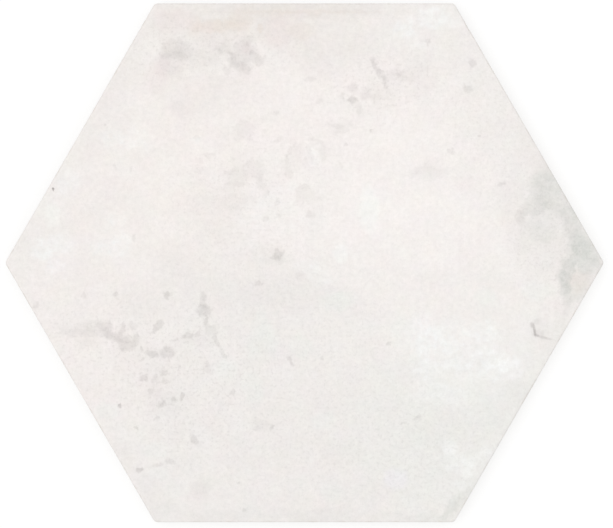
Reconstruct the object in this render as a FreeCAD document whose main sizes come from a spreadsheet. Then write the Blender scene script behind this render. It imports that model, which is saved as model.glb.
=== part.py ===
# A hexagonal floor tile of pressed and glazed porcelain stoneware, one fired piece, in millimetres.
#
# The tile lies on its back with its face up. The origin is the centre of the back, +Z points out of the
# face, and two opposite corners lie on the X axis, so that two sides are parallel to it.
#
# The upper half of the press gives the outline, the rounded arris round the face and the bevel round the
# back. The lower half, the punch, presses shallow cells into the back. What it leaves standing is a plain
# rim and two crossing sets of ribs, level with the rim, which key the tile into its bed of adhesive.
import FreeCAD, Part
import math
import os

import Sketcher

PARTS_FOLDER = "parts"

# Name, value and meaning of each driving dimension. Lengths are in millimetres and angles in degrees.
SIZES = (
    ("across_corners", 250.0, "corner to opposite corner, before the corners are rounded"),
    ("thickness", 9.0, "back to face"),
    ("corner_radius", 2.0, "rounding of the six upright corners, seen from above"),
    ("arris_radius", 1.0, "rounding where the face meets the sides"),
    ("bevel_width", 1.2, "how far the bevel at the foot of the sides cuts in"),
    ("bevel_rise", 2.5, "how far that bevel climbs up the sides"),
    ("rim_width", 7.8, "plain border of the back, from the side to the first cells"),
    ("cell_pitch", 14.5, "rib to rib along X"),
    ("rib_width", 3.0, "width of a rib's crest"),
    ("relief_depth", 0.8, "depth of the cells"),
    ("relief_draft", 30.0, "lean of the cells' walls, so that the punch lets go"),
)

# The cells fill a smaller hexagon inside the rim. Its centre is this far from its corners and its sides.
RECESS_CORNER = "(sizes.across_corners / 2 - sizes.rim_width / cos(30 deg))"
RECESS_SIDE = f"({RECESS_CORNER} * cos(30 deg))"

# The rows lie closer than the columns, by the slope of the sides, so that a slanted side cuts every row of
# cells in the same way.
COLUMN_PITCH = "sizes.cell_pitch"
ROW_PITCH = "(sizes.cell_pitch * cos(30 deg))"

# Each set has a rib on the centre line and more on both sides of it, and the last of them stay half a cell
# or more away from the rim.
COLUMN_RIBS_PER_SIDE = f"floor({RECESS_CORNER} / {COLUMN_PITCH} - 0.5)"
ROW_RIBS_PER_SIDE = f"floor({RECESS_SIDE} / {ROW_PITCH} - 0.5)"

# The arris runs round the rounded corners, so it is limited by their radius.
ARRIS = "min(sizes.arris_radius; 0.9 * sizes.corner_radius)"

RIB_ROOT_WIDTH = "sizes.rib_width + 2 * sizes.relief_depth * tan(sizes.relief_draft * 1 deg)"

# How a sketch numbers the three points of a line or circle, and its own origin and horizontal axis.
START, END, CENTRE = range(1, 4)
ORIGIN = X_AXIS = -1


def make_sheet(doc):
    """The table of driving dimensions: a name, a plain number with that name as its alias, and a meaning."""
    sheet = doc.addObject("Spreadsheet::Sheet", "sizes")
    for row, (name, value, meaning) in enumerate(SIZES, start=1):
        sheet.set(f"A{row}", name)
        sheet.set(f"B{row}", str(value))
        sheet.setAlias(f"B{row}", name)
        sheet.set(f"C{row}", meaning)
    doc.recompute()
    return sheet


def origin_plane(body, role):
    """One of the body's own three base planes."""
    return next(feature for feature in body.Origin.OriginFeatures if feature.Role == role)


def new_sketch(body, name, role):
    """An empty sketch on one of those planes."""
    sketch = body.newObject("Sketcher::SketchObject", name)
    sketch.AttachmentSupport = [(origin_plane(body, role), "")]
    sketch.MapMode = "FlatFace"
    return sketch


def set_size(sketch, constraint, name, expression):
    """Adds a dimension to the sketch, names it and ties it to the table."""
    index = sketch.addConstraint(constraint)
    sketch.renameConstraint(index, name)
    sketch.setExpression(f"Constraints.{name}", expression)


def draw_hexagon(sketch, first_guess, corner_distance):
    """Six equal sides with their ends on a construction circle, and the first corner on the X axis."""
    turns = [math.radians(60 * corner) for corner in range(6)]
    corners = [FreeCAD.Vector(math.cos(turn), math.sin(turn)) * first_guess for turn in turns]
    sides = [
        sketch.addGeometry(Part.LineSegment(corner, corners[(i + 1) % 6]))
        for i, corner in enumerate(corners)
    ]
    circle = sketch.addGeometry(
        Part.Circle(FreeCAD.Vector(), FreeCAD.Vector(0, 0, 1), first_guess), True
    )
    sketch.addConstraint(Sketcher.Constraint("Coincident", circle, CENTRE, ORIGIN, START))
    for i, side in enumerate(sides):
        following = sides[(i + 1) % 6]
        sketch.addConstraint(Sketcher.Constraint("Coincident", side, END, following, START))
        sketch.addConstraint(Sketcher.Constraint("PointOnObject", side, START, circle))
    for side in sides[1:]:
        sketch.addConstraint(Sketcher.Constraint("Equal", sides[0], side))
    sketch.addConstraint(Sketcher.Constraint("PointOnObject", sides[0], START, X_AXIS))
    radius = Sketcher.Constraint("Radius", circle, first_guess)
    set_size(sketch, radius, "corner_distance", corner_distance)


def draw_rib_section(sketch, sheet, first_rib):
    """A rib's section: its crest is level with the back, and it widens upwards to its root."""
    half_crest = sheet.rib_width / 2
    half_root = half_crest + sheet.relief_depth * math.tan(math.radians(sheet.relief_draft))
    points = [
        FreeCAD.Vector(-half_crest, 0),
        FreeCAD.Vector(half_crest, 0),
        FreeCAD.Vector(half_root, sheet.relief_depth),
        FreeCAD.Vector(-half_root, sheet.relief_depth),
    ]
    crest, right, root, left = [
        sketch.addGeometry(Part.LineSegment(point, points[(i + 1) % 4])) for i, point in enumerate(points)
    ]
    middle = sketch.addGeometry(
        Part.LineSegment(FreeCAD.Vector(), FreeCAD.Vector(0, sheet.relief_depth)), True
    )
    for line, following in ((crest, right), (right, root), (root, left), (left, crest)):
        sketch.addConstraint(Sketcher.Constraint("Coincident", line, END, following, START))
    sketch.addConstraint(Sketcher.Constraint("Horizontal", crest))
    sketch.addConstraint(Sketcher.Constraint("Horizontal", root))
    sketch.addConstraint(Sketcher.Constraint("Vertical", middle))
    sketch.addConstraint(Sketcher.Constraint("PointOnObject", middle, START, X_AXIS))
    sketch.addConstraint(Sketcher.Constraint("Symmetric", crest, START, crest, END, middle, START))
    sketch.addConstraint(Sketcher.Constraint("Symmetric", root, START, root, END, middle, END))
    width = Sketcher.Constraint("DistanceX", crest, START, crest, END, 2 * half_crest)
    set_size(sketch, width, "crest_width", "sizes.rib_width")
    width = Sketcher.Constraint("DistanceX", root, END, root, START, 2 * half_root)
    set_size(sketch, width, "root_width", RIB_ROOT_WIDTH)
    depth = Sketcher.Constraint("DistanceY", middle, START, middle, END, sheet.relief_depth)
    set_size(sketch, depth, "depth", "sizes.relief_depth")
    place = Sketcher.Constraint("DistanceX", ORIGIN, START, middle, START, 0.0)
    set_size(sketch, place, "first_rib", first_rib)


def is_upright(face):
    return abs(face.normalAt(0, 0).z) < 0.5


def edge_names(shape, wanted):
    """The names of the shape's edges that pass a test of both their ends."""
    return [
        f"Edge{i}"
        for i, edge in enumerate(shape.Edges, start=1)
        if wanted(edge.Vertexes[0].Point, edge.Vertexes[-1].Point)
    ]


def make_punch(doc, sheet):
    """The raised face of the punch: a low hexagonal block, crossed by a groove for every rib."""
    punch = doc.addObject("PartDesign::Body", "punch")
    outline = new_sketch(punch, "recess_outline", "XY_Plane")
    draw_hexagon(outline, sheet.across_corners / 2 - sheet.rim_width, RECESS_CORNER)
    block = punch.newObject("PartDesign::Pad", "punch_block")
    block.Profile = outline
    block.setExpression("Length", "sizes.relief_depth")
    doc.recompute()

    lean = punch.newObject("PartDesign::Draft", "punch_lean")
    flanks = [f"Face{i}" for i, face in enumerate(block.Shape.Faces, start=1) if is_upright(face)]
    lean.Base = (block, flanks)
    lean.NeutralPlane = (origin_plane(punch, "XY_Plane"), [""])
    lean.setExpression("Angle", "sizes.relief_draft")

    # The ribs that run along X are spaced along Y, and the other way round.
    rib_sets = (
        ("row", "YZ_Plane", ROW_PITCH, ROW_RIBS_PER_SIDE),
        ("column", "XZ_Plane", COLUMN_PITCH, COLUMN_RIBS_PER_SIDE),
    )
    for name, plane, pitch, ribs_per_side in rib_sets:
        section = new_sketch(punch, f"{name}_rib_section", plane)
        draw_rib_section(section, sheet, f"-{ribs_per_side} * {pitch}")
        groove = punch.newObject("PartDesign::Pocket", f"{name}_groove")
        groove.Profile = section
        groove.SideType = "Symmetric"
        groove.setExpression("Length", "sizes.across_corners")
        grooves = punch.newObject("PartDesign::LinearPattern", f"{name}_grooves")
        grooves.Originals = [groove]
        grooves.Direction = (section, ["H_Axis"])
        grooves.Mode = "Spacing"
        grooves.setExpression("Offset", pitch)
        grooves.setExpression("Occurrences", f"2 * {ribs_per_side} + 1")
        punch.Tip = grooves
        doc.recompute()
    return punch


def make_tile(doc, sheet, punch):
    """The pressed blank with its edges eased, less what the punch presses into its back."""
    tile = doc.addObject("PartDesign::Body", "tile")
    tile.Label = "tile"
    outline = new_sketch(tile, "outline", "XY_Plane")
    draw_hexagon(outline, sheet.across_corners / 2, "sizes.across_corners / 2")
    blank = tile.newObject("PartDesign::Pad", "blank")
    blank.Profile = outline
    blank.setExpression("Length", "sizes.thickness")
    doc.recompute()

    corners = tile.newObject("PartDesign::Fillet", "corners")
    upright = edge_names(blank.Shape, lambda a, b: abs(a.z - b.z) > sheet.thickness / 2)
    corners.Base = (blank, upright)
    corners.setExpression("Radius", "sizes.corner_radius")
    doc.recompute()

    arris = tile.newObject("PartDesign::Fillet", "arris")
    round_the_face = edge_names(corners.Shape, lambda a, b: min(a.z, b.z) > sheet.thickness / 2)
    arris.Base = (corners, round_the_face)
    arris.setExpression("Radius", ARRIS)
    doc.recompute()

    bevel = tile.newObject("PartDesign::Chamfer", "bevel")
    round_the_back = edge_names(arris.Shape, lambda a, b: max(a.z, b.z) < sheet.thickness / 2)
    bevel.Base = (arris, round_the_back)
    bevel.ChamferType = "Two distances"
    bevel.setExpression("Size", "sizes.bevel_rise")
    bevel.setExpression("Size2", "sizes.bevel_width")
    doc.recompute()

    pressed_back = tile.newObject("PartDesign::Boolean", "pressed_back")
    pressed_back.Type = "Cut"
    pressed_back.setObjects([punch])
    tile.Tip = pressed_back
    tile.Placement = FreeCAD.Placement()
    return tile


def check_document(doc, tile):
    """Stops with a message if any feature failed or the tile isn't a valid shape."""
    failed = [item.Name for item in doc.Objects if {"Invalid", "Error"} & set(item.State)]
    if failed:
        raise RuntimeError(f"these features failed: {', '.join(failed)}")
    if tile.Shape.isNull() or not tile.Shape.isValid():
        raise RuntimeError(f"{tile.Label} has no valid shape")


def main():
    doc = FreeCAD.newDocument("hexagon_tile")
    sheet = make_sheet(doc)
    punch = make_punch(doc, sheet)
    tile = make_tile(doc, sheet, punch)
    doc.recompute()
    check_document(doc, tile)

    box = tile.Shape.optimalBoundingBox()
    print(f"cells pressed into the back: {len(punch.Shape.Solids)}")
    print(f"overall: {box.XLength:.2f} x {box.YLength:.2f} x {box.ZLength:.2f} mm")
    print(f"volume: {tile.Shape.Volume / 1000:.1f} cm3, solids: {len(tile.Shape.Solids)}")
    os.makedirs(PARTS_FOLDER, exist_ok=True)
    tile.Shape.exportStep(os.path.join(PARTS_FOLDER, f"{tile.Label}.step"))


main()
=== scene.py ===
"""A hexagonal floor tile of glazed porcelain stoneware, with the look of old whitewashed cement.

The tile lies on its back at the CAD model's own place and size, in metres: its face is up, two opposite
corners are on the X axis, and the origin is the centre of its back.
"""
import math

from typing import NamedTuple

import bmesh
import bpy
from bpy.props import FloatProperty, FloatVectorProperty, IntProperty, PointerProperty
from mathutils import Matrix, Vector


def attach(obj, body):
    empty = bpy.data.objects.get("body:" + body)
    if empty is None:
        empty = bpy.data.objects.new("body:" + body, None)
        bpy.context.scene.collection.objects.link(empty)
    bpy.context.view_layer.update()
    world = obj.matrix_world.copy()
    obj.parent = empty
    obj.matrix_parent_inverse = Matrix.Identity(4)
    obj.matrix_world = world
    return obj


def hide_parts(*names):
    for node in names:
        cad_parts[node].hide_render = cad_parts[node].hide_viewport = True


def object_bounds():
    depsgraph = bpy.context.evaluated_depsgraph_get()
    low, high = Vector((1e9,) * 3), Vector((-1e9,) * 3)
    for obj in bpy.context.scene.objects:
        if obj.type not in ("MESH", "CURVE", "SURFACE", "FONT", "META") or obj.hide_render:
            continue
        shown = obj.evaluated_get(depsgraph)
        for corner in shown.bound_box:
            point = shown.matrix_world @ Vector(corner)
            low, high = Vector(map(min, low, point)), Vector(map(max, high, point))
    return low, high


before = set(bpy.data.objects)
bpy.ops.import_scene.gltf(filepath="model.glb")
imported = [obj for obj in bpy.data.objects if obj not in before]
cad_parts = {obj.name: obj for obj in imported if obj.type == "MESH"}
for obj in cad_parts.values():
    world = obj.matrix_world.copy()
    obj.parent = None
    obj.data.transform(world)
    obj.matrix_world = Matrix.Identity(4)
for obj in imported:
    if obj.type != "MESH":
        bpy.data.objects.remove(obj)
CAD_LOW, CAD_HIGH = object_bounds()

bl_info = {
    "name": "Hexagon Floor Tile",
    "version": (1, 0, 0),
    "blender": (4, 5, 0),
    "location": "3D View > Sidebar > Tile",
    "description": "Models a glazed hexagon floor tile and sets up the stage it is seen on",
    "category": "Add Mesh",
}

MM = 0.001
PIECE_NAME = "glazed_tile"
NODE_NAME = "tile"

# The tile's size, read from the frame. A side is as long as its distance between centre and corner.
THICKNESS = CAD_HIGH.z
SIDE_DISTANCE = CAD_HIGH.y
CORNER_DISTANCE = SIDE_DISTANCE / math.cos(math.radians(30))
SIDE_TURNS = [math.radians(30 + 60 * side) for side in range(6)]


def srgb(red, green, blue):
    """A colour as a picture shows it, from 0 to 255, as the linear values that Blender works with."""
    shares = [channel / 255 for channel in (red, green, blue)]
    linear = [c / 12.92 if c <= 0.04045 else ((c + 0.055) / 1.055) ** 2.4 for c in shares]
    return (*linear, 1.0)


# Sizes and colours that a user may change.


def length(title, description, default):
    return FloatProperty(name=title, description=description, default=default, unit="LENGTH", precision=5)


def colour(title, description, default):
    return FloatVectorProperty(
        name=title, description=description, default=default, subtype="COLOR", size=4, min=0.0, max=1.0
    )


class TileSizes(bpy.types.PropertyGroup):
    """Sizes of the tile that the frame's box doesn't give."""

    corner_radius: length("Corner radius", "Rounding of the upright corners", 2.0 * MM)
    arris_radius: length("Arris radius", "Rounding where the face meets the sides", 1.0 * MM)
    bevel_width: length("Bevel width", "How far the bevel at the foot cuts in", 1.2 * MM)
    bevel_rise: length("Bevel rise", "How far that bevel climbs", 2.5 * MM)
    rim_width: length("Rim width", "Plain border of the back", 7.8 * MM)
    cell_pitch: length("Cell pitch", "Rib to rib along X", 14.5 * MM)
    rib_width: length("Rib width", "Width of a rib's crest", 3.0 * MM)
    relief_depth: length("Relief depth", "Depth of the cells in the back", 0.8 * MM)
    relief_draft: FloatProperty(
        name="Relief draft", description="Lean of the cells' walls", default=math.radians(30), subtype="ANGLE"
    )
    crest_radius: length("Crest radius", "Softening of the ribs' edges", 0.25 * MM)
    arris_steps: IntProperty(name="Arris steps", description="Facets across the arris", default=6, min=2)
    corner_steps: IntProperty(name="Corner steps", description="Facets round a corner", default=6, min=2)


class TileColours(bpy.types.PropertyGroup):
    """Colours of the glaze, of what lies in it, and of the bare body."""

    glaze: colour("Glaze", "The glaze where nothing tints it", srgb(240.8, 236.8, 233.5))
    warm_white: colour("Warm white", "Tint of the upper left", srgb(244, 238, 234))
    rosy_white: colour("Rosy white", "Tint of the top and centre, and of small spots", srgb(245, 239, 236))
    clear_white: colour("Clear white", "Tint right of the centre, and of small spots", srgb(246, 241, 238))
    pale_grey: colour("Pale grey", "Tint below the centre and on the right", srgb(238, 234, 231))
    rosy_grey: colour("Rosy grey", "Tint of the left", srgb(242, 236, 233))
    green_grey: colour("Green grey", "Tint of the lower right, and of small spots", srgb(236, 235, 231))
    buff: colour("Buff", "Weak warm tint along the top", srgb(233, 227, 222))
    ochre: colour("Ochre", "Strong warm tint along the top", srgb(231, 221, 213))
    pink: colour("Pink", "Rosy tint along the top and upper left", srgb(236, 227, 224))
    shell: colour("Shell", "Rosy tint on the left", srgb(240, 234, 231))
    pale_green: colour("Pale green", "Green tint in the grey", srgb(238, 237, 233))
    mid_green: colour("Mid green", "Green tint on the right", srgb(241, 240, 236))
    light_green: colour("Light green", "Green tint in the white", srgb(246, 245, 241))
    bluish: colour("Bluish", "One cold spot", srgb(238, 235, 237))
    chalk: colour("Chalk", "Pale chalky blooms", srgb(246.5, 246.5, 245))
    moss: colour("Moss", "Green-grey shadows", srgb(123, 142, 131))
    shadow: colour("Shadow", "Grey shadows and spots", srgb(106, 98, 95))
    clay: colour("Clay", "The bare body", srgb(222, 215, 205))
    clay_shade: colour("Clay shade", "Darker clouds in the body", srgb(208, 200, 189))
    clay_grain: colour("Clay grain", "Dark grains in the body", srgb(150, 138, 124))
    wash: colour("Kiln wash", "White wash on the ribs of the back", srgb(238, 237, 233))


class StageSettings(bpy.types.PropertyGroup):
    """Camera, light and floor."""

    lens: FloatProperty(name="Lens", description="Focal length in millimetres", default=135.0, min=10.0)
    floor_size: length("Floor size", "Side of the square floor", 6.0)
    sky_strength: FloatProperty(name="Sky", description="Strength of the even light", default=0.834, min=0.0)
    lamp_strength: FloatProperty(name="Lamp", description="Strength of the soft lamp", default=0.53, min=0.0)


# Modelling by hand: what the next operator acts on is picked by its place.


def pick(element, wanted):
    """Selects the faces, edges or vertices of the edited mesh that pass a test, and no others."""
    bpy.ops.mesh.select_mode(type=element)
    bpy.ops.mesh.select_all(action="DESELECT")
    mesh = bpy.context.object.data
    shape = bmesh.from_edit_mesh(mesh)
    for item in {"FACE": shape.faces, "EDGE": shape.edges, "VERT": shape.verts}[element]:
        if wanted(item):
            item.select_set(True)
    shape.select_flush_mode()
    bmesh.update_edit_mesh(mesh)


def near(value, target):
    return abs(value - target) < 0.002 * MM


def faces_up_at(height):
    return lambda face: face.normal.z > 0.99 and near(face.calc_center_median().z, height)


def faces_down_at(height):
    return lambda face: face.normal.z < -0.99 and near(face.calc_center_median().z, height)


def reach(point):
    """How far a point lies from the tile's axis, measured square to the nearest side."""
    return max(point.x * math.cos(turn) + point.y * math.sin(turn) for turn in SIDE_TURNS)


def subdivide(*parts):
    """Cuts the selected edges or faces into parts, and each of those into parts again."""
    for count in parts:
        bpy.ops.mesh.subdivide(number_cuts=count - 1, quadcorner="INNERVERT")


def press_outline(sizes):
    """The outline with its six rounded corners, at the height where the sides are widest."""
    bpy.ops.mesh.primitive_circle_add(
        vertices=6, radius=CORNER_DISTANCE, fill_type="NGON",
        location=(0, 0, sizes.bevel_rise), rotation=(0, 0, math.radians(30)),
    )
    bpy.context.object.name = PIECE_NAME
    bpy.ops.object.transform_apply(location=True, rotation=True, scale=True)
    bpy.ops.object.mode_set(mode="EDIT")
    pick("VERT", lambda vertex: True)
    bpy.ops.mesh.bevel(
        offset_type="OFFSET", offset=sizes.corner_radius * math.tan(math.radians(30)),
        segments=sizes.corner_steps, affect="VERTICES", clamp_overlap=False,
    )
    pick("EDGE", lambda edge: edge.calc_length() > SIDE_DISTANCE / 2)
    subdivide(11, 10)


def press_sides(sizes):
    """The upright sides and the rounded arris, up to the flat of the face."""
    top = THICKNESS - sizes.arris_radius
    steps = 5
    for step in range(steps):
        height = sizes.bevel_rise + (top - sizes.bevel_rise) * step / steps
        if step == 0:
            pick("FACE", lambda face: True)
        else:
            pick("FACE", faces_up_at(height))
        bpy.ops.mesh.extrude_region_move(
            TRANSFORM_OT_translate={"value": (0, 0, (top - sizes.bevel_rise) / steps)}
        )
    turned = [math.pi / 2 * step / sizes.arris_steps for step in range(sizes.arris_steps + 1)]
    for before, after in zip(turned, turned[1:]):
        pick("FACE", faces_up_at(top + sizes.arris_radius * math.sin(before)))
        bpy.ops.mesh.inset(
            thickness=sizes.arris_radius * (math.cos(before) - math.cos(after)),
            depth=sizes.arris_radius * (math.sin(after) - math.sin(before)),
        )


def press_face(sizes):
    """The flat of the face as a fine lattice of triangles, joined to the arris all round."""
    pick("FACE", faces_up_at(THICKNESS))
    bpy.ops.mesh.delete(type="ONLY_FACE")
    gap = 0.9 * MM
    lattice_reach = SIDE_DISTANCE - sizes.arris_radius - gap
    bpy.ops.mesh.primitive_circle_add(
        vertices=6, radius=lattice_reach / math.cos(math.radians(30)), fill_type="TRIFAN",
        location=(0, 0, THICKNESS), rotation=(0, 0, math.radians(30)),
    )
    subdivide(12, 10)
    pick("EDGE", lambda edge: edge.is_boundary)
    bpy.ops.mesh.fill(use_beauty=True)
    bpy.ops.mesh.select_all(action="SELECT")
    bpy.ops.mesh.normals_make_consistent(inside=False)


def press_back(sizes):
    """The bevel at the foot, the rim, and the cells between the ribs."""
    pick("FACE", faces_down_at(sizes.bevel_rise))
    bpy.ops.mesh.inset(thickness=sizes.bevel_width, depth=sizes.bevel_rise)

    recess_reach = SIDE_DISTANCE - sizes.rim_width
    back = faces_down_at(0)
    for turn in SIDE_TURNS:
        outward = Vector((math.cos(turn), math.sin(turn), 0))
        pick("FACE", back)
        bpy.ops.mesh.bisect(plane_co=outward * recess_reach, plane_no=outward)

    def is_recess(face):
        return back(face) and reach(face.calc_center_median()) < recess_reach

    row_pitch = sizes.cell_pitch * math.cos(math.radians(30))
    recess_corner = recess_reach / math.cos(math.radians(30))
    rib_sets = (
        (Vector((1, 0, 0)), sizes.cell_pitch, recess_corner),
        (Vector((0, 1, 0)), row_pitch, recess_reach),
    )
    for across, pitch, extent in rib_sets:
        per_side = math.floor(extent / pitch - 0.5)
        for rib in range(-per_side, per_side + 1):
            for flank in (-1, 1):
                pick("FACE", is_recess)
                line = across * (rib * pitch + flank * sizes.rib_width / 2)
                bpy.ops.mesh.bisect(plane_co=line, plane_no=across)

    def is_cell(face):
        centre = face.calc_center_median()
        if not is_recess(face):
            return False
        for across, pitch, extent in rib_sets:
            place = centre.dot(across)
            per_side = math.floor(extent / pitch - 0.5)
            rib = max(-per_side, min(per_side, round(place / pitch)))
            if abs(place - rib * pitch) < sizes.rib_width / 2:
                return False
        return True

    pick("FACE", is_cell)
    bpy.ops.mesh.inset(
        thickness=sizes.relief_depth * math.tan(sizes.relief_draft), depth=-sizes.relief_depth,
        use_individual=True,
    )

    def is_brink(edge):
        level = all(near(vertex.co.z, 0) for vertex in edge.verts)
        walls = [face for face in edge.link_faces if face.normal.z > -0.99]
        return level and len(walls) == 1 and reach(walls[0].calc_center_median()) < recess_reach

    pick("EDGE", is_brink)
    bpy.ops.mesh.bevel(offset=sizes.crest_radius, segments=2, affect="EDGES", clamp_overlap=False)


# Damage in the face, in millimetres: where it is, and how far it goes in.
FACE_HEIGHT = 9
FLAKE = (
    (94.9, -26.0, 0.24),
    (95.4, -27.2, 0.30),
    (95.8, -28.6, 0.34),
    (96.1, -30.0, 0.30),
    (97.4, -30.8, 0.20),
    (99.6, -31.4, 0.14),
    (101.8, -31.9, 0.10),
)
PINHOLES = (
    (-104.6, 30.7, 0.16),
    (-77.0, -59.8, 0.16),
    (-69.0, -86.2, 0.12),
    (-57.3, -13.3, 0.08),
    (-70.1, -69.0, 0.10),
    (27.9, 55.0, 0.10),
    (17.5, 49.7, 0.10),
    (70.0, 83.0, 0.08),
    (20.0, 68.0, 0.08),
    (-11.8, 3.2, 0.06),
)


def refine(centre, radius, cuts):
    """Cuts the face finer round a point."""
    pick("FACE", lambda face: face.normal.z > 0.9 and (face.calc_center_median() - centre).length < radius)
    bpy.ops.mesh.subdivide(number_cuts=cuts)


def push(centre, radius, spread, shift):
    """Moves the surface round a point, and less and less out to the spread."""
    pick("VERT", lambda vertex: (vertex.co - centre).length < radius)
    bpy.ops.transform.translate(
        value=shift, use_proportional_edit=True, proportional_edit_falloff="SMOOTH", proportional_size=spread,
    )


def on_face(x, y):
    """A point of the face, from its place in millimetres."""
    return Vector((x, y, FACE_HEIGHT)) * MM


def damage_face():
    """The flake near the right-hand corner, pinholes in the glaze and a nick in the arris."""
    refine(on_face(98.5, -29), 7.5 * MM, 2)
    push(on_face(98.6, -28.6), 1.2 * MM, 3.4 * MM, (0, 0, -0.12 * MM))
    for x, y, depth in FLAKE:
        push(on_face(x, y), 0.5 * MM, 1.1 * MM, (0, 0, -depth * MM))
    for x, y, depth in PINHOLES:
        refine(on_face(x, y), 1.6 * MM, 2)
        push(on_face(x, y), 0.4 * MM, 1.1 * MM, (0, 0, -depth * MM))
    nick = (-0.25 * MM, -0.15 * MM, -0.35 * MM)
    push(on_face(67.4, 98.0), 1.0 * MM, 1.8 * MM, nick)


def mark_out_face(tile, sizes):
    """A vertex group of the face, which fades out to the arris."""
    bpy.ops.object.vertex_group_add()
    tile.vertex_groups.active.name = "face"
    flat = SIDE_DISTANCE - sizes.arris_radius
    for step in range(1, 5):
        pick("VERT", lambda vertex: near(vertex.co.z, THICKNESS) and reach(vertex.co) < flat - step * MM)
        bpy.context.tool_settings.vertex_group_weight = step / 4
        bpy.ops.object.vertex_group_assign()


# Waves in the face, in millimetres: their size and how deep they go.
WAVES = (
    (32, 0.14),
    (8, 0.05),
    (3, 0.025),
)


def ripple(tile, size, depth):
    """Sinks the face here and there by a part of that depth, in clouds of about that size."""
    texture = bpy.data.textures.new("ripple", "CLOUDS")
    texture.noise_basis = "IMPROVED_PERLIN"
    texture.noise_scale = size
    texture.noise_depth = 2
    bpy.ops.object.modifier_add(type="DISPLACE")
    wave = tile.modifiers[-1]
    wave.texture = texture
    wave.direction = "Z"
    wave.mid_level = 1.0
    wave.strength = depth
    wave.vertex_group = "face"
    bpy.ops.object.modifier_apply(modifier=wave.name)


# Materials. Sums on wires add the nodes that work them out.


class Wire:
    """An output of a node, on its way through a material."""

    def __init__(self, shader, socket):
        self.shader = shader
        self.socket = socket

    def __add__(self, other):
        return self.shader.maths("ADD", self, other)

    def __sub__(self, other):
        return self.shader.maths("SUBTRACT", self, other)

    def __rsub__(self, other):
        return self.shader.maths("SUBTRACT", other, self)

    def __mul__(self, other):
        return self.shader.maths("MULTIPLY", self, other)


class Mark(NamedTuple):
    """A soft oval on the face: its centre, length and width in millimetres, and its turn in degrees."""

    x: float
    y: float
    length: float
    width: float
    turn: float
    strength: float
    softness: float = 0.5


class Shader:
    """The nodes of one material, of the sky, or of a group."""

    def __init__(self, tree):
        self.tree = tree
        tree.nodes.clear()

    def node(self, kind, settings=None, inputs=None, output=0):
        """Adds a node, sets its settings and then its sockets, and gives one of its outputs."""
        node = self.tree.nodes.new(kind if kind.startswith("NodeGroup") else f"ShaderNode{kind}")
        for name, value in (settings or {}).items():
            setattr(node, name, value)
        for key, value in (inputs or {}).items():
            socket = self.find(node.inputs, key)
            if isinstance(value, Wire):
                self.tree.links.new(value.socket, socket)
            else:
                socket.default_value = value
        return Wire(self, self.find(node.outputs, output)) if node.outputs else None

    def also(self, wire, output):
        """Another output of the node that a wire comes from."""
        return Wire(self, self.find(wire.socket.node.outputs, output))

    @staticmethod
    def find(sockets, key):
        """A socket by its number, its name, or its identifier where several have one name."""
        if isinstance(key, int):
            return sockets[key]
        return next(socket for socket in sockets if key in (socket.identifier, socket.name))

    def maths(self, operation, *values):
        return self.node("Math", {"operation": operation}, dict(enumerate(values)))

    def vector(self, operation, first, second, third=(0, 0, 0), output=0):
        return self.node("VectorMath", {"operation": operation}, {0: first, 1: second, 2: third}, output)

    def place(self):
        """Where a point of the tile is, in millimetres."""
        return self.vector("MULTIPLY", self.node("TexCoord", output="Object"), (1 / MM, 1 / MM, 1 / MM))

    def noise(self, place, size, detail=2.0, roughness=0.5, output="Fac", dimensions="2D"):
        """Clouds of about that size in millimetres, from 0 to 1."""
        inputs = {"Vector": place, "Scale": 1 / size, "Detail": detail, "Roughness": roughness}
        return self.node("TexNoise", {"noise_dimensions": dimensions}, inputs, output)

    def stray(self, place, size, distance, detail=1.0):
        """The place led astray by a part of that distance, which frays what is drawn on it."""
        drift = self.noise(place, size, detail, 0.6, "Color")
        centred = self.vector("SUBTRACT", drift, (0.5, 0.5, 0.5))
        moved = self.vector("MULTIPLY", centred, (2 * distance, 2 * distance, 0))
        return self.vector("ADD", place, moved)

    def ramp(self, value, start, end, low=0.0, high=1.0):
        """Goes smoothly from low to high as the value goes from start to end."""
        inputs = {"Value": value, "From Min": start, "From Max": end, "To Min": low, "To Max": high}
        return self.node("MapRange", {"interpolation_type": "SMOOTHSTEP"}, inputs)

    def mix(self, share, first, second, mode="MIX"):
        """A colour between two, at that share of the way."""
        inputs = {"Factor_Float": share, "A_Color": first, "B_Color": second}
        return self.node("Mix", {"data_type": "RGBA", "blend_type": mode}, inputs, "Result_Color")

    def oval(self, place, mark, outside, inside, times=1.0):
        """Goes from one value outside the mark to another inside, across its soft edge."""
        reach = (1 + mark.softness) / 2
        inputs = {
            "Place": place,
            "Centre": (mark.x, mark.y, 0),
            "Turn": (0, 0, math.radians(mark.turn)),
            "Size": (mark.length * reach, mark.width * reach, 1000),
            "Edge": mark.softness / reach,
            "Outside": outside,
            "Inside": inside,
            "Times": times,
        }
        return self.node("Group", {"node_tree": bpy.data.node_groups[OVAL_GROUP]}, inputs)

    def marked(self, place, marks):
        """The share of the glaze that the marks take, where they lie over each other too."""
        clean = 1.0
        for mark in marks:
            clean = self.oval(place, mark, 1.0, 1 - mark.strength, clean)
        return 1 - clean

    def finish(self, kind, surface):
        self.node(kind, inputs={0: surface})


OVAL_GROUP = "soft_oval"


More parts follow.
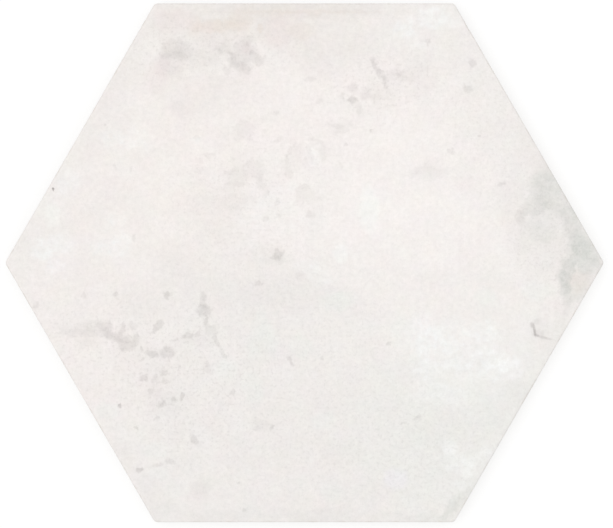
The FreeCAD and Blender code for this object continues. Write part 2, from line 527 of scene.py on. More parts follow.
def make_oval_group():
    """A group of nodes that draws one soft oval, and multiplies what it draws by a number."""
    group = bpy.data.node_groups.new(OVAL_GROUP, "ShaderNodeTree")
    for name in ("Place", "Centre", "Turn", "Size"):
        group.interface.new_socket(name, in_out="INPUT", socket_type="NodeSocketVector")
    for name in ("Edge", "Outside", "Inside", "Times"):
        group.interface.new_socket(name, in_out="INPUT", socket_type="NodeSocketFloat")
    group.interface.new_socket("Value", in_out="OUTPUT", socket_type="NodeSocketFloat")
    shader = Shader(group)
    place = shader.node("NodeGroupInput", output="Place")
    names = ("Centre", "Turn", "Size", "Edge", "Outside", "Inside")
    given = {name: shader.also(place, name) for name in names}
    placed = {"Vector": place, "Location": given["Centre"], "Rotation": given["Turn"], "Scale": given["Size"]}
    within = shader.node("Mapping", {"vector_type": "TEXTURE"}, placed)
    nearness = shader.node("TexGradient", {"gradient_type": "SPHERICAL"}, {"Vector": within}, "Fac")
    drawn = shader.ramp(nearness, 0, given["Edge"], given["Outside"], given["Inside"])
    shader.finish("NodeGroupOutput", drawn * shader.also(place, "Times"))


def new_material(name):
    material = bpy.data.materials.new(name)
    material.use_nodes = True
    return material, Shader(material.node_tree)


# The broad tints of the face, each with the name of its colour.
BROAD_TINTS = (
    (Mark(-46, 46, 50, 96, 0, 0.80, 0.6), "warm_white"),
    (Mark(-76, 28, 46, 56, 20, 0.55, 0.6), "warm_white"),
    (Mark(6, 62, 110, 62, 0, 0.85, 0.6), "rosy_white"),
    (Mark(-6, 18, 50, 50, 0, 0.50, 0.6), "rosy_white"),
    (Mark(46, 22, 96, 74, -10, 0.95, 0.6), "clear_white"),
    (Mark(82, 40, 36, 60, 0, 0.30, 0.6), "pale_grey"),
    (Mark(-9, -81, 150, 78, 0, 0.90, 0.6), "pale_grey"),
    (Mark(-19, -22, 56, 48, 0, 0.60, 0.6), "pale_grey"),
    (Mark(40, -8, 90, 36, 0, 0.20, 0.6), "pale_grey"),
    (Mark(-92, -14, 54, 44, 0, 0.70, 0.6), "rosy_grey"),
    (Mark(-86, -46, 50, 44, 0, 0.70, 0.6), "rosy_grey"),
    (Mark(58, -76, 80, 60, -20, 0.85, 0.5), "green_grey"),
    (Mark(88, -52, 40, 44, 0, 0.60, 0.5), "pale_green"),
    (Mark(-20, 98, 100, 17, 0, 0.40, 0.5), "buff"),
)

# Small tints with clearer edges.
SMALL_TINTS = (
    # warm, rosy and grey ones, most of them along the top and in the upper left
    (Mark(-36, 98.8, 23, 5, 0, 0.65, 0.5), "ochre"),
    (Mark(-36.5, 94.8, 20, 3, 0, 0.25, 0.5), "buff"),
    (Mark(-46, 99, 7, 8, 0, 0.40, 0.5), "ochre"),
    (Mark(-29.5, 101.5, 7, 5, 0, 0.50, 0.5), "ochre"),
    (Mark(26, -72, 16, 12, 0, 0.45, 0.6), "pale_grey"),
    (Mark(-95, 16, 12, 14, 0, 0.40, 0.6), "shell"),
    (Mark(-25, 102.6, 8, 8, 0, 0.50, 0.6), "ochre"),
    (Mark(-18.5, 97.5, 2.6, 4, 0, 0.60, 0.4), "ochre"),
    (Mark(-14, 104.6, 20, 3.5, 0, 0.40, 0.4), "ochre"),
    (Mark(-8, 106, 66, 9, 0, 0.80, 0.6), "buff"),
    (Mark(-48, 105, 26, 7, 0, 0.30, 0.6), "buff"),
    (Mark(0, 104.6, 56, 1.7, 0, 0.35, 0.7), "ochre"),
    (Mark(-11.5, 97, 11, 15, 0, 0.75, 0.4), "pink"),
    (Mark(-1.5, 96.5, 11, 7, 0, 0.35, 0.4), "ochre"),
    (Mark(-54, 101, 16, 10, 0, 0.65, 0.4), "pink"),
    (Mark(-61.5, 78, 10, 16, 0, 0.35, 0.5), "pink"),
    (Mark(-75, 80, 30, 10, 60, 0.25, 0.6), "buff"),
    (Mark(-86, 31, 20, 26, 0, 0.50, 0.6), "shell"),
    (Mark(-84, 47, 14, 9, 0, 0.40, 0.6), "shell"),
    (Mark(-59.5, 81.5, 6, 9, 0, 0.55, 0.6), "pink"),
    (Mark(-24.5, 90, 5, 6, 0, 0.60, 0.5), "pink"),
    (Mark(28, 100.5, 10, 5, 0, 0.50, 0.5), "rosy_white"),
    (Mark(-80, 62, 16, 34, -28, 0.50, 0.5), "shell"),
    # rosy spots
    (Mark(114.5, -8, 9, 9, 0, 0.35, 0.5), "ochre"),
    (Mark(-110, -12, 9, 6, 0, 0.30, 0.5), "rosy_white"),
    (Mark(52, 41, 6, 6, 0, 0.40, 0.5), "rosy_white"),
    (Mark(-40, -64, 11, 9, 0, 0.40, 0.5), "shell"),
    (Mark(50, 4, 14, 12, 0, 0.35, 0.5), "clear_white"),
    (Mark(45, -9, 6, 8, 0, 0.40, 0.5), "rosy_white"),
    # green spots, and a white one
    (Mark(-18, -33, 13, 16, 0, 0.80, 0.4), "green_grey"),
    (Mark(-2, -35, 10, 9, -30, 0.70, 0.4), "pale_green"),
    (Mark(-33, -45, 11, 9, 0, 0.70, 0.4), "pale_green"),
    (Mark(-22, -52, 9, 14, 20, 0.70, 0.4), "pale_green"),
    (Mark(14, -16, 16, 8, 0, 0.75, 0.4), "pale_green"),
    (Mark(8, -66, 9, 7, 0, 0.65, 0.4), "pale_green"),
    (Mark(27, 22, 7.5, 20, 5, 0.75, 0.4), "light_green"),
    (Mark(15, 4, 5.5, 9, 0, 0.55, 0.4), "light_green"),
    (Mark(-5, 32, 4, 5, 0, 0.40, 0.4), "light_green"),
    (Mark(-18.5, -23, 6, 6, 0, 0.75, 0.5), "green_grey"),
    (Mark(-28, 47, 6, 5, 0, 0.60, 0.5), "clear_white"),
    (Mark(75, -14, 8, 8, 0, 0.70, 0.4), "mid_green"),
    (Mark(97, -12, 13, 8, 0, 0.75, 0.4), "mid_green"),
    (Mark(40.5, -30, 9, 16, 0, 0.60, 0.4), "mid_green"),
    (Mark(-62, -78, 9, 8, 0, 0.70, 0.4), "pale_green"),
    (Mark(-60, -88, 9, 6, 0, 0.60, 0.4), "pale_green"),
    (Mark(-53, -94, 9, 9, 0, 0.65, 0.4), "pale_green"),
    (Mark(12, -95, 10, 10, 0, 0.55, 0.4), "green_grey"),
    (Mark(-82, -62, 10, 7, 0, 0.70, 0.4), "pale_green"),
    (Mark(-105, 20, 6, 10, 0, 0.45, 0.4), "light_green"),
    # a bluish one
    (Mark(38, -90, 10, 9, 0, 0.70, 0.4), "bluish"),
)

# Large soft shadows, with frayed edges.
SHADOWS = (
    Mark(-52.3, 89, 12, 7.5, 3, 0.14, 0.6),
    Mark(-54, 84.5, 13, 12.5, 0, 0.065, 0.4),
    Mark(-52, 63, 9, 5, 0, 0.05, 0.5),
    Mark(-25.5, 87, 12, 10.5, 45, 0.11, 0.4),
    Mark(-25.5, 81, 5, 5.5, 0, 0.13, 0.45),
    Mark(-29.5, 85.6, 7, 5, -30, 0.12, 0.45),
    Mark(-32.3, 80.6, 4, 3, 0, 0.09, 0.5),
    Mark(-20.8, 84.6, 5, 4.5, 0, 0.12, 0.45),
    Mark(-24, 92, 5, 4, 0, 0.04, 0.5),
    Mark(-33.5, 89.8, 8, 6, 0, 0.10, 0.5),
    Mark(-41, 87, 16, 12, 0, 0.075, 0.6),
    Mark(-35, 53, 12, 10, 0, 0.03, 0.7),
    Mark(-60, -104, 13, 8, 0, 0.035, 0.7),
    Mark(11, -80, 14, 10, 0, 0.03, 0.8),
    Mark(24.5, -96, 12, 10, 0, 0.03, 0.8),
    Mark(35, 66.5, 12, 8, 0, 0.03, 0.7),
    Mark(57, -8, 14, 10, 0, 0.03, 0.8),
    Mark(-30, 76, 18, 7, 0, 0.04, 0.6),
    Mark(-53, 78.5, 9, 6, 0, 0.05, 0.6),
    Mark(-45, 70, 28, 18, 0, 0.045, 0.7),
    Mark(10, 86, 44, 13, 0, 0.045, 0.7),
    Mark(-24.8, 54, 9, 8, -30, 0.065, 0.45),
    Mark(-20.5, 38, 9, 9, 0, 0.06, 0.35),
    Mark(-18.8, 31.8, 4, 7, 0, 0.09, 0.5),
    Mark(-28, 35.5, 10, 9, 0, 0.055, 0.45),
    Mark(-29.5, 44.5, 4, 6, 0, 0.05, 0.5),
    Mark(-29, 25, 15, 8, 0, 0.05, 0.6),
    Mark(-15.5, 60, 10, 4, 10, 0.04, 0.5),
    Mark(-40, 19, 22, 28, 10, 0.03, 0.9),
    Mark(-51, -3, 20, 18, 0, 0.04, 0.8),
    Mark(-66, -19, 20, 12, -30, 0.04, 0.7),
    Mark(31, 71.5, 16, 7, 15, 0.055, 0.6),
    Mark(48, 77, 14, 16, 0, 0.045, 0.6),
    Mark(50, 37.5, 15, 6, 0, 0.07, 0.6),
    Mark(15, 57, 8, 5, 0, 0.05, 0.6),
    Mark(-4.5, 44, 10, 13, -20, 0.05, 0.4),
    Mark(0.5, 28.5, 6, 8, 0, 0.05, 0.8),
    Mark(-18, 3, 17, 9, 0, 0.04, 0.7),
    Mark(-15, -12, 56, 14, 0, 0.035, 0.9),
    Mark(-91, -28.8, 24, 4.6, -5, 0.10, 0.6),
    Mark(-90, -33, 10, 5, -20, 0.05, 0.8),
    Mark(-62, -46, 24, 20, 0, 0.03, 0.8),
    Mark(-57, -57, 18, 10, 0, 0.035, 0.8),
    Mark(-46, -31, 16, 7, 10, 0.05, 0.7),
    Mark(-18, -67, 9, 5, -15, 0.06, 0.7),
    Mark(-42, -93, 9, 6, 0, 0.05, 0.7),
    Mark(74, -43, 7, 5, 0, 0.04, 0.8),
    Mark(72.5, -35, 2.4, 8, 10, 0.03, 0.6),
    Mark(-76, -77, 12, 8, -60, 0.035, 0.6),
    Mark(-66, -94, 12, 8, -60, 0.035, 0.6),
    Mark(92, 20.5, 5, 11, 0, 0.12, 0.5),
    Mark(87, 26, 10, 24, 0, 0.035, 0.7),
    Mark(96, 45, 20, 9, -60, 0.035, 0.6),
    Mark(92, 10, 13, 11, 0, 0.05, 0.7),
    Mark(95.5, -3, 12, 10, 0, 0.03, 0.7),
    Mark(108.5, -20.5, 14, 6, 60, 0.05, 0.6),
    Mark(103, -30, 12, 10, 60, 0.035, 0.6),
    Mark(90.5, -53.5, 14, 11, 60, 0.04, 0.6),
    Mark(84, -64, 13, 10, 60, 0.03, 0.7),
    Mark(66, -98.5, 12, 4, 60, 0.06, 0.6),
)

# Spots and streaks with sharper edges, from the upper right round to the lower left.
SPOTS = (
    Mark(29.6, 82.2, 2.4, 6.5, 28, 0.15, 0.6),
    Mark(31.6, 78.8, 2.4, 6.5, 38, 0.14, 0.5),
    Mark(33.6, 75.2, 2.2, 4.4, 0, 0.11, 0.4),
    Mark(39.5, 77.4, 10, 3, -8, 0.07, 0.5),
    Mark(19.8, 68, 3.6, 3.8, 0, 0.22, 0.45),
    Mark(22.6, 64, 3, 5, 10, 0.11, 0.5),
    Mark(20, 73, 4, 4, 0, 0.11, 0.5),
    Mark(-6.3, 36.6, 3, 3, 0, 0.10, 0.5),
    Mark(15.9, 68.8, 1.6, 4, 0, 0.09, 0.5),
    Mark(36.6, 79.6, 6, 3, 10, 0.06, 0.5),
    Mark(40.5, 78.8, 4, 2, 30, 0.10, 0.5),
    Mark(25.5, 70.5, 5, 5, 0, 0.06, 0.5),
    Mark(13, 57.2, 8, 2.4, -10, 0.06, 0.4),
    Mark(15, 54.5, 7, 2, 15, 0.06, 0.4),
    Mark(-5.5, 47.5, 1.6, 7, -35, 0.07, 0.5),
    Mark(-7.2, 42, 1.6, 6, 5, 0.07, 0.5),
    Mark(2.5, 45, 1.6, 8, 20, 0.07, 0.5),
    Mark(8, 46, 4, 7, 0, 0.07, 0.5),
    Mark(5, 51, 7, 2, -25, 0.07, 0.5),
    Mark(15.5, 40.5, 2, 2, 0, 0.07, 0.5),
    Mark(6.3, 67.6, 3.4, 2.6, 0, 0.10, 0.5),
    Mark(1.6, 76.7, 6, 1.6, 0, 0.07, 0.5),
    Mark(27.9, 55, 1.4, 1.4, 0, 0.14, 0.4),
    Mark(17.5, 49.7, 1.6, 1.8, 0, 0.15, 0.4),
    Mark(70, 83, 3.4, 4, 0, 0.14, 0.4),
    Mark(68, 72.6, 4.4, 2.8, -20, 0.13, 0.4),
    Mark(51.3, 92.2, 3, 2.6, 0, 0.12, 0.4),
    Mark(61.3, 46.3, 2.6, 2.4, 0, 0.12, 0.4),
    Mark(72.6, 53, 1.4, 1.4, 0, 0.12, 0.4),
    Mark(82, 33, 4.5, 2, 25, 0.12, 0.4),
    Mark(-11.7, 25.6, 2, 2, 0, 0.09, 0.5),
    Mark(-10.8, 19.8, 2.4, 2.4, 0, 0.09, 0.5),
    Mark(-15.8, 18, 2.4, 2.4, 0, 0.08, 0.5),
    Mark(-10.8, 51.4, 4, 2, 10, 0.08, 0.5),
    Mark(-17, 54.8, 2, 2, 0, 0.07, 0.5),
    Mark(-11.7, 62.7, 2.4, 2.4, 0, 0.07, 0.5),
    Mark(-45, 52.2, 2, 2.4, 0, 0.08, 0.5),
    Mark(-39.5, 45, 5, 2, 15, 0.07, 0.5),
    Mark(-44, 42.7, 2.6, 2, 0, 0.07, 0.5),
    Mark(-43.5, 38.5, 5, 1.8, 0, 0.07, 0.5),
    Mark(-31, 38, 6, 2, 20, 0.07, 0.5),
    Mark(-28, 33, 8, 2, -5, 0.07, 0.5),
    Mark(-71, 10, 1.6, 4, 0, 0.09, 0.5),
    Mark(-79, 40, 1.6, 2.4, 0, 0.07, 0.5),
    Mark(-72.5, 39.5, 1.8, 2, 0, 0.07, 0.5),
    Mark(2.5, 20.5, 3, 3.4, 0, 0.08, 0.5),
    Mark(0, 31.5, 5, 3, 0, 0.08, 0.5),
    Mark(-11.2, 3.2, 4, 5, -30, 0.18, 0.4),
    Mark(-10, 1, 3, 3, 0, 0.10, 0.5),
    Mark(-57.3, -13.3, 3, 3, 0, 0.19, 0.4),
    Mark(-78.8, -13.4, 3, 3, 0, 0.11, 0.5),
    Mark(-91.8, -13.5, 1.6, 2.6, 0, 0.10, 0.5),
    Mark(-104.6, 30.7, 2, 1.5, -30, 0.65, 0.4),
    Mark(-83, 57.5, 1.2, 1.2, 0, 0.14, 0.4),
    Mark(-112, -18, 4, 3, 60, 0.12, 0.5),
    Mark(-83.4, -26.2, 7.4, 3.6, -8, 0.14, 0.45),
    Mark(-80, -30.8, 7, 3.8, -30, 0.14, 0.4),
    Mark(-74.4, -33.6, 7.4, 6.4, -10, 0.165, 0.35),
    Mark(-70, -31.8, 3, 4, 0, 0.12, 0.5),
    Mark(-71.5, -26.6, 3.4, 3, 0, 0.12, 0.5),
    Mark(-76.1, -27.8, 2.8, 6, -15, 0.15, 0.4),
    Mark(-61.4, -26.7, 6, 2.8, 42, 0.19, 0.4),
    Mark(-63.6, -37.8, 5, 3, -10, 0.18, 0.4),
    Mark(-57, -37.2, 6, 5.4, 20, 0.155, 0.35),
    Mark(-67.8, -40, 1.8, 2.2, 0, 0.16, 0.4),
    Mark(-67.8, -36, 1.6, 1.6, 0, 0.14, 0.4),
    Mark(-54, -32.5, 3.5, 1.6, 35, 0.12, 0.4),
    Mark(-48.5, -30.5, 5, 2.4, 5, 0.14, 0.4),
    Mark(-44.6, -29.6, 2, 3, 0, 0.12, 0.4),
    Mark(-42, -15.8, 2.4, 7, 0, 0.13, 0.45),
    Mark(-42, -20, 6.4, 4.6, 0, 0.18, 0.4),
    Mark(-41, -24, 1.8, 6, 10, 0.18, 0.4),
    Mark(-39, -28, 4.4, 4, 0, 0.06, 0.4),
    Mark(-36.8, -32.6, 1.7, 6, 25, 0.13, 0.4),
    Mark(-33.6, -37.8, 1.5, 6, 32, 0.10, 0.4),
    Mark(-66.8, -48.1, 3.8, 2.8, 15, 0.16, 0.4),
    Mark(-62.4, -48.6, 2.2, 4.6, -10, 0.10, 0.4),
    Mark(-58.3, -46.2, 3, 3, 0, 0.12, 0.4),
    Mark(-58.4, -49.4, 2.4, 2, 0, 0.11, 0.4),
    Mark(-64.4, -53.6, 3, 2, -30, 0.11, 0.4),
    Mark(-59.2, -58.8, 3.6, 2.6, 0, 0.15, 0.4),
    Mark(-54.5, -57.3, 3, 2.4, 0, 0.14, 0.4),
    Mark(-51.2, -55.8, 1.8, 3, -20, 0.16, 0.4),
    Mark(-52.2, -43.8, 1.2, 2.4, 0, 0.12, 0.4),
    Mark(-40.5, -44, 3.4, 4.4, 0, 0.08, 0.5),
    Mark(-77, -59.8, 2, 2, 0, 0.36, 0.4),
    Mark(-61.6, -64.8, 1.6, 1.6, 0, 0.10, 0.4),
    Mark(-70.1, -69, 2, 1.6, 0, 0.17, 0.4),
    Mark(-45.6, -74, 4.6, 2.6, -50, 0.15, 0.45),
    Mark(-69, -86.2, 2.6, 2.6, 0, 0.22, 0.4),
    Mark(-56, -82.8, 4.6, 2.2, -10, 0.11, 0.4),
    Mark(-61, -84.2, 4.4, 1.6, 5, 0.11, 0.5),
    Mark(-30, -54, 2, 2.2, 0, 0.13, 0.4),
    Mark(-20, -68.8, 4, 2, -30, 0.06, 0.4),
    Mark(-13.6, -68.8, 1.6, 3, 0, 0.12, 0.4),
    Mark(-5.6, -41, 1.4, 5.5, 32, 0.14, 0.4),
    Mark(7.7, -39.5, 1.4, 2.2, 0, 0.09, 0.4),
    Mark(-19, -8.6, 4, 1.8, 5, 0.12, 0.4),
    Mark(-2, -5, 3.4, 3.4, 0, 0.07, 0.5),
    Mark(35.5, -34, 1.4, 2, 0, 0.12, 0.4),
    Mark(41, -67, 3.4, 1.4, 20, 0.12, 0.4),
    Mark(47, -65, 4.4, 1.6, 20, 0.12, 0.4),
    Mark(-27.4, -91.8, 1.8, 1.8, 0, 0.13, 0.4),
    Mark(-25.4, -103.5, 2.2, 1.7, 0, 0.13, 0.4),
)

# The flake near the right-hand corner: painted shadow along its broken edge and its tail, and painted shade
# round it.
FLAKE_SHADOWS = (
    Mark(94.9, -26.0, 1.5, 2.2, 20, 0.28, 0.7),
    Mark(95.95, -28.2, 1.0, 4.8, 9, 0.38, 0.6),
    Mark(96.7, -30.1, 2.2, 1.0, -25, 0.28, 0.7),
    Mark(99.5, -31.1, 7.2, 1.1, -14, 0.18, 0.7),
    Mark(96.8, -24.6, 3.4, 2.0, 20, 0.13, 0.8),
    Mark(98.2, -26.6, 5.0, 4.0, 0, 0.04, 0.8),
    Mark(98.0, -29.4, 3.6, 2.6, 0, 0.10, 0.8),
)

# The green-grey shadow in the right-hand corner, and fainter ones elsewhere.
MOSS = (
    Mark(104.8, 29.2, 24, 14, -60, 0.155, 0.4),
    Mark(101.5, 35.5, 12, 10, -60, 0.035, 0.5),
    Mark(96.8, 27, 8, 15, 0, 0.12, 0.45),
    Mark(100.5, 22.5, 9, 8, 0, 0.08, 0.5),
    Mark(113, 20, 10, 4, -60, 0.03, 0.6),
    Mark(98.5, 13.5, 10, 9, 0, 0.085, 0.45),
    Mark(106, 14, 16, 14, 0, 0.055, 0.6),
    Mark(103.5, 3, 12, 14, 0, 0.055, 0.6),
    Mark(114.4, 11, 20, 10, -60, 0.18, 0.5),
    Mark(117.5, 5, 14, 9, -60, 0.12, 0.5),
    Mark(112.5, 4, 7, 10, 20, 0.10, 0.45),
    Mark(110.3, -1.8, 6.5, 9, 0, 0.185, 0.5),
    Mark(107.6, -7.4, 6, 10, 15, 0.20, 0.45),
    Mark(104.9, -8.7, 4, 7, 10, 0.14, 0.45),
    Mark(108.8, -12, 4.4, 8, -15, 0.13, 0.5),
    Mark(114, 1, 12, 10, 0, 0.045, 0.6),
    Mark(120.5, -2.5, 9, 8, 0, 0.125, 0.5),
    Mark(116, -8.5, 13, 9, 60, 0.08, 0.6),
    Mark(112.3, -16.2, 9, 6, 60, 0.09, 0.6),
    Mark(74.5, -57, 10, 8, 0, 0.03, 0.7),
    Mark(60.5, -103, 12, 5, 60, 0.12, 0.6),
    Mark(50, -106, 16, 3.5, 0, 0.04, 0.6),
    Mark(-2, -105.5, 110, 5, 0, 0.05, 0.6),
)

# Pale chalky blooms, made of flecks.
CHALK = (
    Mark(-102, 6.5, 9, 9, 0, 0.22, 0.5),
    Mark(-109, 5, 9, 10, 0, 0.50, 0.6),
    Mark(-80, 7, 16, 8, 10, 0.35, 0.6),
    Mark(-99, 33, 10, 10, -30, 0.25, 0.6),
    Mark(-75, 51, 16, 10, 0, 0.35, 0.6),
    Mark(-78, 17, 8, 8, 0, 0.25, 0.6),
    Mark(-46.5, 51, 4, 3, 0, 0.25, 0.5),
    Mark(27, 22, 8, 22, 5, 0.20, 0.4),
    Mark(15, 4, 5, 9, 0, 0.15, 0.5),
    Mark(4, 44, 6, 8, 0, 0.25, 0.6),
    Mark(-14, 22, 22, 20, 0, 0.20, 0.7),
    Mark(53, 102, 24, 7, 0, 0.45, 0.5),
    Mark(42, 97, 9, 9, 0, 0.55, 0.5),
    Mark(49, 90, 10, 5, 0, 0.20, 0.6),
    Mark(47, -26, 9, 12, 0, 0.45, 0.5),
    Mark(47, -46, 9, 8, 0, 0.35, 0.5),
    Mark(78, -46.5, 8, 5, -15, 0.40, 0.5),
    Mark(-104, -2, 8, 6, 0, 0.40, 0.5),
    Mark(53, -33, 12, 10, 0, 0.30, 0.5),
    Mark(63, -37, 40, 24, 0, 0.45, 0.5),
    Mark(76, -29, 9, 8, 0, 0.35, 0.5),
    Mark(84, -43.5, 18, 9, -15, 0.60, 0.5),
    Mark(62, -54, 30, 10, 0, 0.25, 0.6),
    Mark(60.5, -78, 5, 8, 0, 0.45, 0.4),
    Mark(66, -84, 12, 8, -10, 0.45, 0.5),
    Mark(76, -80, 8, 7, 60, 0.25, 0.6),
    Mark(64.5, -93, 6, 6, 0, 0.30, 0.5),
    Mark(5, -4, 16, 7, -10, 0.35, 0.6),
)

# Where fine dark grains lie close together.
GRITTY = (
    Mark(-50, -50, 70, 60, -10, 0.8, 0.6),
    Mark(0, -55, 90, 90, 0, 0.5, 0.7),
    Mark(-25, 25, 60, 60, 0, 0.5, 0.7),
    Mark(-42, 88, 70, 26, 0, 0.7, 0.5),
    Mark(32, 74, 50, 26, 0, 0.7, 0.6),
    Mark(78, 50, 30, 70, 30, 0.4, 0.7),
    Mark(104, 8, 40, 50, 0, 0.6, 0.6),
    Mark(-88, -28, 50, 30, 0, 0.6, 0.6),
    Mark(50, -80, 60, 50, 0, 0.5, 0.6),
)


def edge_distance(shader, place):
    """How far a point lies from the tile's axis in millimetres, measured square to the nearest side."""
    reaches = []
    for turn in SIDE_TURNS[:3]:
        outward = (math.cos(turn), math.sin(turn), 0)
        reach_here = shader.vector("DOT_PRODUCT", place, outward, output="Value")
        reaches.append(shader.maths("ABSOLUTE", reach_here))
    return shader.maths("MAXIMUM", shader.maths("MAXIMUM", reaches[0], reaches[1]), reaches[2])


def tone(shader, colour_now, level):
    """A colour made lighter or darker, where 1 leaves it as it is."""
    grey = shader.node("CombineColor", inputs={"Red": level, "Green": level, "Blue": level})
    return shader.mix(1.0, colour_now, grey, "MULTIPLY")


def face_colour(shader, place, colours):
    """The glaze's printed and fired colours, with painted shadow and shade at the flake and a painted
    highlight over the arris.
    """
    clouded = shader.stray(place, 26, 9)
    frayed = shader.stray(place, 3, 1.7, 2)
    torn = shader.stray(frayed, 11, 4)

    colour_now = tuple(colours.glaze)
    for mark, tint in BROAD_TINTS:
        share = shader.oval(clouded, mark, 0.0, mark.strength)
        colour_now = shader.mix(share, colour_now, tuple(getattr(colours, tint)))
    for mark, tint in SMALL_TINTS:
        share = shader.oval(frayed, mark, 0.0, mark.strength)
        colour_now = shader.mix(share, colour_now, tuple(getattr(colours, tint)))

    flecks = shader.ramp(shader.noise(place, 4.5, 4, 0.6), 0.32, 0.7, 0.45, 1.5)
    specks = shader.ramp(shader.noise(place, 2.6, 1, 0.5), 0.58, 0.72, 0.0, 0.5)
    bloom = shader.marked(torn, CHALK)
    colour_now = shader.mix(bloom * (flecks + specks), colour_now, tuple(colours.chalk))

    pores = shader.ramp(shader.noise(place, 3.4, 4, 0.7), 0.26, 0.72, 0.72, 1.24)
    colour_now = shader.mix(shader.marked(torn, MOSS) * pores, colour_now, tuple(colours.moss))
    shade = shader.marked(torn, SHADOWS) * pores
    colour_now = shader.mix(shade, colour_now, tuple(colours.shadow))
    spots = shader.marked(frayed, SPOTS) * pores
    colour_now = shader.mix(spots, colour_now, tuple(colours.shadow))
    # Painted shadow along the flake's broken edge and tail, and painted shade round it.
    colour_now = shader.mix(shader.marked(place, FLAKE_SHADOWS) * pores, colour_now, tuple(colours.shadow))

    grains = shader.ramp(shader.noise(place, 1.3, 1, 0.5), 0.54, 0.76, 0.0, 0.075)
    grit = grains * (shader.marked(clouded, GRITTY) + 0.35)
    colour_now = shader.mix(grit, colour_now, tuple(colours.shadow))

    mottle = (shader.noise(place, 16, 3, 0.9) - 0.5) * 0.09
    speckle = (shader.noise(place, 2.0, 3, 1.0) - 0.5) * 0.18
    # Painted highlight: over the arris the colour is made up to 2.8 % lighter towards the edge, to lift the
    # shade that falls there.
    painted_arris_light = shader.ramp(edge_distance(shader, place), 107.0, 108.2, 1.0, 1.028)
    colour_now = tone(shader, colour_now, (mottle + speckle + 1) * painted_arris_light)
    hue = shader.noise(place, 10, 2, 0.6, "Color")
    cast = shader.vector("MULTIPLY_ADD", hue, (0.036, 0.036, 0.036), third=(0.982, 0.982, 0.982))
    return shader.mix(1.0, colour_now, cast, "MULTIPLY")


def glaze_material(colours):
    """Matt glaze with a print of old whitewashed cement under it, rubbed thin here and there on the arris.
    The darker clay colour there is partly wear and partly painted shade.
    """
    material, shader = new_material("matt_glaze")
    place = shader.place()
    peel = shader.noise(place, 0.9, 2, 0.6)
    brink = shader.ramp(edge_distance(shader, place), 107.3, 108.0)
    # Patches of the arris take the darker clay colour, partly as wear and partly as painted shade, and a
    # rougher finish.
    worn_and_shaded_arris = brink * shader.ramp(shader.noise(place, 6, 4, 0.7), 0.48, 0.66, 0.0, 0.45)
    surface = shader.node("BsdfPrincipled", inputs={
        "Base Color": shader.mix(worn_and_shaded_arris, face_colour(shader, place, colours), tuple(colours.clay)),
        "Roughness": shader.ramp(shader.noise(place, 20, 4, 0.6), 0.3, 0.7, 0.5, 0.62) + worn_and_shaded_arris * 0.4,
        "Normal": shader.node("Bump", inputs={"Strength": 0.12, "Distance": 0.05 * MM, "Height": peel}),
    })
    shader.finish("OutputMaterial", surface)
    return material


def body_material(colours):
    """Bare porcelain on back and sides, with a white wash on the ribs and glaze run over from the face."""
    material, shader = new_material("porcelain_body")
    place = shader.place()
    height = shader.node("SeparateXYZ", inputs={0: place}, output="Z")

    cloud = shader.noise(place, 14, 5, 0.65, dimensions="3D")
    colour_now = shader.mix(shader.ramp(cloud, 0.3, 0.7), tuple(colours.clay_shade), tuple(colours.clay))
    grains = shader.noise(place, 0.9, 1, 0.5, dimensions="3D")
    colour_now = shader.mix(shader.ramp(grains, 0.66, 0.76, 0, 0.45), colour_now, tuple(colours.clay_grain))
    patches = shader.ramp(shader.noise(place, 6, 4, 0.7, dimensions="3D"), 0.34, 0.6, 0.15, 0.95)
    wash = shader.ramp(height, 0.22, 0.04) * patches
    colour_now = shader.mix(wash, colour_now, tuple(colours.wash))
    runs = shader.noise(place, 4, 3, 0.6, dimensions="3D") * 3.4
    glazed = shader.ramp(height + runs, 8.3, 8.7)
    colour_now = shader.mix(glazed, colour_now, tuple(colours.glaze))
    dust = shader.noise(place, 1.3, 4, 0.8, dimensions="3D")
    drawn = shader.vector("MULTIPLY", place, (1, 1, 0.14))
    drag = shader.noise(drawn, 1.1, 2, 0.6, dimensions="3D")
    foot = shader.ramp(height + cloud * 1.6, 0.7, 2.6, 0.955, 1.0)
    colour_now = tone(shader, colour_now, ((dust - 0.5) * 0.16 + (drag - 0.5) * 0.1 + 1) * foot)

    relief = dust + drag + glazed * 0.8
    bump = shader.node("Bump", inputs={"Strength": 0.5, "Distance": 0.08 * MM, "Height": relief})
    surface = shader.node("BsdfPrincipled", inputs={
        "Base Color": colour_now,
        "Roughness": shader.ramp(glazed, 0.0, 1.0, 0.85, 0.55),
        "Normal": bump,
    })
    shader.finish("OutputMaterial", surface)
    return material


class TILE_OT_press(bpy.types.Operator):
    """Models the tile: outline, sides, arris, face and pressed back"""

    bl_idname = "hexagon_tile.press"
    bl_label = "Press tile"

    def execute(self, context):
        sizes = context.scene.tile_sizes
        press_outline(sizes)
        press_sides(sizes)
        press_face(sizes)
        press_back(sizes)
        tile = context.object
        mark_out_face(tile, sizes)
        damage_face()
        bpy.ops.object.mode_set(mode="OBJECT")
        for size, depth in WAVES:
            ripple(tile, size * MM, depth * MM)
        bpy.ops.object.shade_smooth_by_angle(angle=math.radians(30))
        colours = context.scene.tile_colours
        make_oval_group()
        tile.data.materials.append(body_material(colours))
        tile.data.materials.append(glaze_material(colours))
        for polygon in tile.data.polygons:
            polygon.material_index = 1 if polygon.center.z > THICKNESS - sizes.arris_radius else 0
        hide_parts(NODE_NAME)
        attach(tile, "root")
        return {"FINISHED"}


# Where the picture is taken from: the tile's centre in the picture, and the picture's scale.
PICTURE_SIZE = Vector((613, 528))
TILE_CENTRE = Vector((304.5, 262.8))
PIXELS_ACROSS_CORNERS = 599.6

# The lamp's place, in metres; only its direction from the tile counts. And how far the floor lies below.
LAMP_PLACE = (-0.5, 0.1, 1.6)
FLOOR_DROP = 0.05 * MM


def seen_directly(shader):
    """1 for what the camera sees itself, in a mirror or through glass, and 0 for the light on the tile."""
    camera = shader.node("LightPath", output="Is Camera Ray")
    return camera + shader.also(camera, "Is Glossy Ray") + shader.also(camera, "Is Transmission Ray")


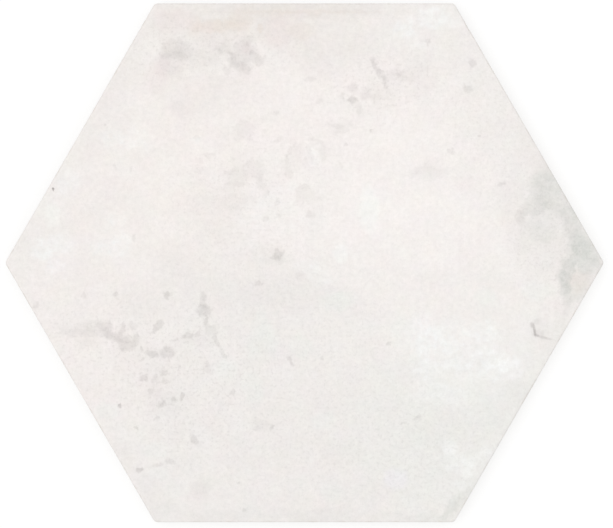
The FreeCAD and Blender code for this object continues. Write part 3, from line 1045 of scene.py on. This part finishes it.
def floor_material():
    """White paper, with the shadows that fall on it, and see-through from below."""
    material, shader = new_material("floor_paper")
    seen = seen_directly(shader)
    paper = shader.node("BsdfDiffuse", inputs={"Color": (0.4, 0.4, 0.4, 1)})
    glow = shader.node("Emission", inputs={"Color": (1, 1, 1, 1), "Strength": seen * 0.44 + 0.2})
    above = shader.node("AddShader", inputs={0: paper, 1: glow})
    below = shader.node("BsdfTransparent")
    under = shader.node("NewGeometry", output="Backfacing")
    shader.finish("OutputMaterial", shader.node("MixShader", inputs={0: under, 1: above, 2: below}))
    return material


def set_sky(scene, strength):
    """Even white light from all round, and plain white where the camera sees past the floor."""
    world = bpy.data.worlds.new("sky")
    world.use_nodes = True
    scene.world = world
    shader = Shader(world.node_tree)
    light = seen_directly(shader) * (1 - strength) + strength
    background = shader.node("Background", inputs={"Color": (1, 1, 1, 1), "Strength": light})
    shader.finish("OutputWorld", background)


class TILE_OT_stage(bpy.types.Operator):
    """Sets up the floor, the light and the camera above the tile"""

    bl_idname = "hexagon_tile.stage"
    bl_label = "Set stage"

    def execute(self, context):
        stage = context.scene.stage_settings
        scene = context.scene
        scene.view_settings.view_transform = "Standard"

        bpy.ops.object.select_all(action="DESELECT")
        bpy.ops.mesh.primitive_circle_add(
            vertices=6, radius=stage.floor_size / 2, fill_type="NGON",
            location=(0, 0, -FLOOR_DROP), rotation=(0, 0, math.radians(30)),
        )
        floor = context.object
        floor.name = "floor"
        bpy.ops.object.mode_set(mode="EDIT")
        pick("FACE", lambda face: True)
        floor_reach = stage.floor_size / 2 * math.cos(math.radians(30))
        foot_reach = SIDE_DISTANCE - scene.tile_sizes.bevel_width
        bpy.ops.mesh.inset(thickness=floor_reach - foot_reach)
        pick("FACE", lambda face: face.calc_center_median().length < SIDE_DISTANCE)
        bpy.ops.mesh.delete(type="FACE")
        bpy.ops.object.mode_set(mode="OBJECT")
        floor.data.materials.append(floor_material())

        bpy.ops.object.light_add(type="SUN", location=LAMP_PLACE)
        lamp = context.object
        lamp.name = "soft_lamp"
        lamp.data.angle = math.radians(50)
        lamp.data.energy = stage.lamp_strength
        lamp.rotation_euler = (-lamp.location).to_track_quat("-Z", "Y").to_euler()
        set_sky(scene, stage.sky_strength)

        metres_per_pixel = 2 * CORNER_DISTANCE / PIXELS_ACROSS_CORNERS
        aim = (PICTURE_SIZE / 2 - TILE_CENTRE) * metres_per_pixel
        bpy.ops.object.camera_add(location=(aim.x, -aim.y, 1))
        camera = context.object
        camera.data.lens = stage.lens
        view_width = PICTURE_SIZE.x * metres_per_pixel
        camera.location.z = THICKNESS + view_width * stage.lens / camera.data.sensor_width
        scene.camera = camera
        return {"FINISHED"}


class TILE_PT_sidebar(bpy.types.Panel):
    """Lists the operators, and the sizes and colours they use"""

    bl_idname = "TILE_PT_sidebar"
    bl_label = "Hexagon tile"
    bl_space_type = "VIEW_3D"
    bl_region_type = "UI"
    bl_category = "Tile"

    def draw(self, context):
        scene = context.scene
        for operator, groups in (
            (TILE_OT_press, (scene.tile_sizes, scene.tile_colours)),
            (TILE_OT_stage, (scene.stage_settings,)),
        ):
            box = self.layout.box()
            box.operator(operator.bl_idname)
            for group in groups:
                for name in type(group).__annotations__:
                    box.prop(group, name)


CLASSES = (TileSizes, TileColours, StageSettings, TILE_OT_press, TILE_OT_stage, TILE_PT_sidebar)


def register():
    for kind in CLASSES:
        bpy.utils.register_class(kind)
    bpy.types.Scene.tile_sizes = PointerProperty(type=TileSizes)
    bpy.types.Scene.tile_colours = PointerProperty(type=TileColours)
    bpy.types.Scene.stage_settings = PointerProperty(type=StageSettings)


def unregister():
    del bpy.types.Scene.stage_settings
    del bpy.types.Scene.tile_colours
    del bpy.types.Scene.tile_sizes
    for kind in reversed(CLASSES):
        bpy.utils.unregister_class(kind)


def main():
    register()
    bpy.ops.hexagon_tile.press()
    bpy.ops.hexagon_tile.stage()


if __name__ == "__main__":
    main()
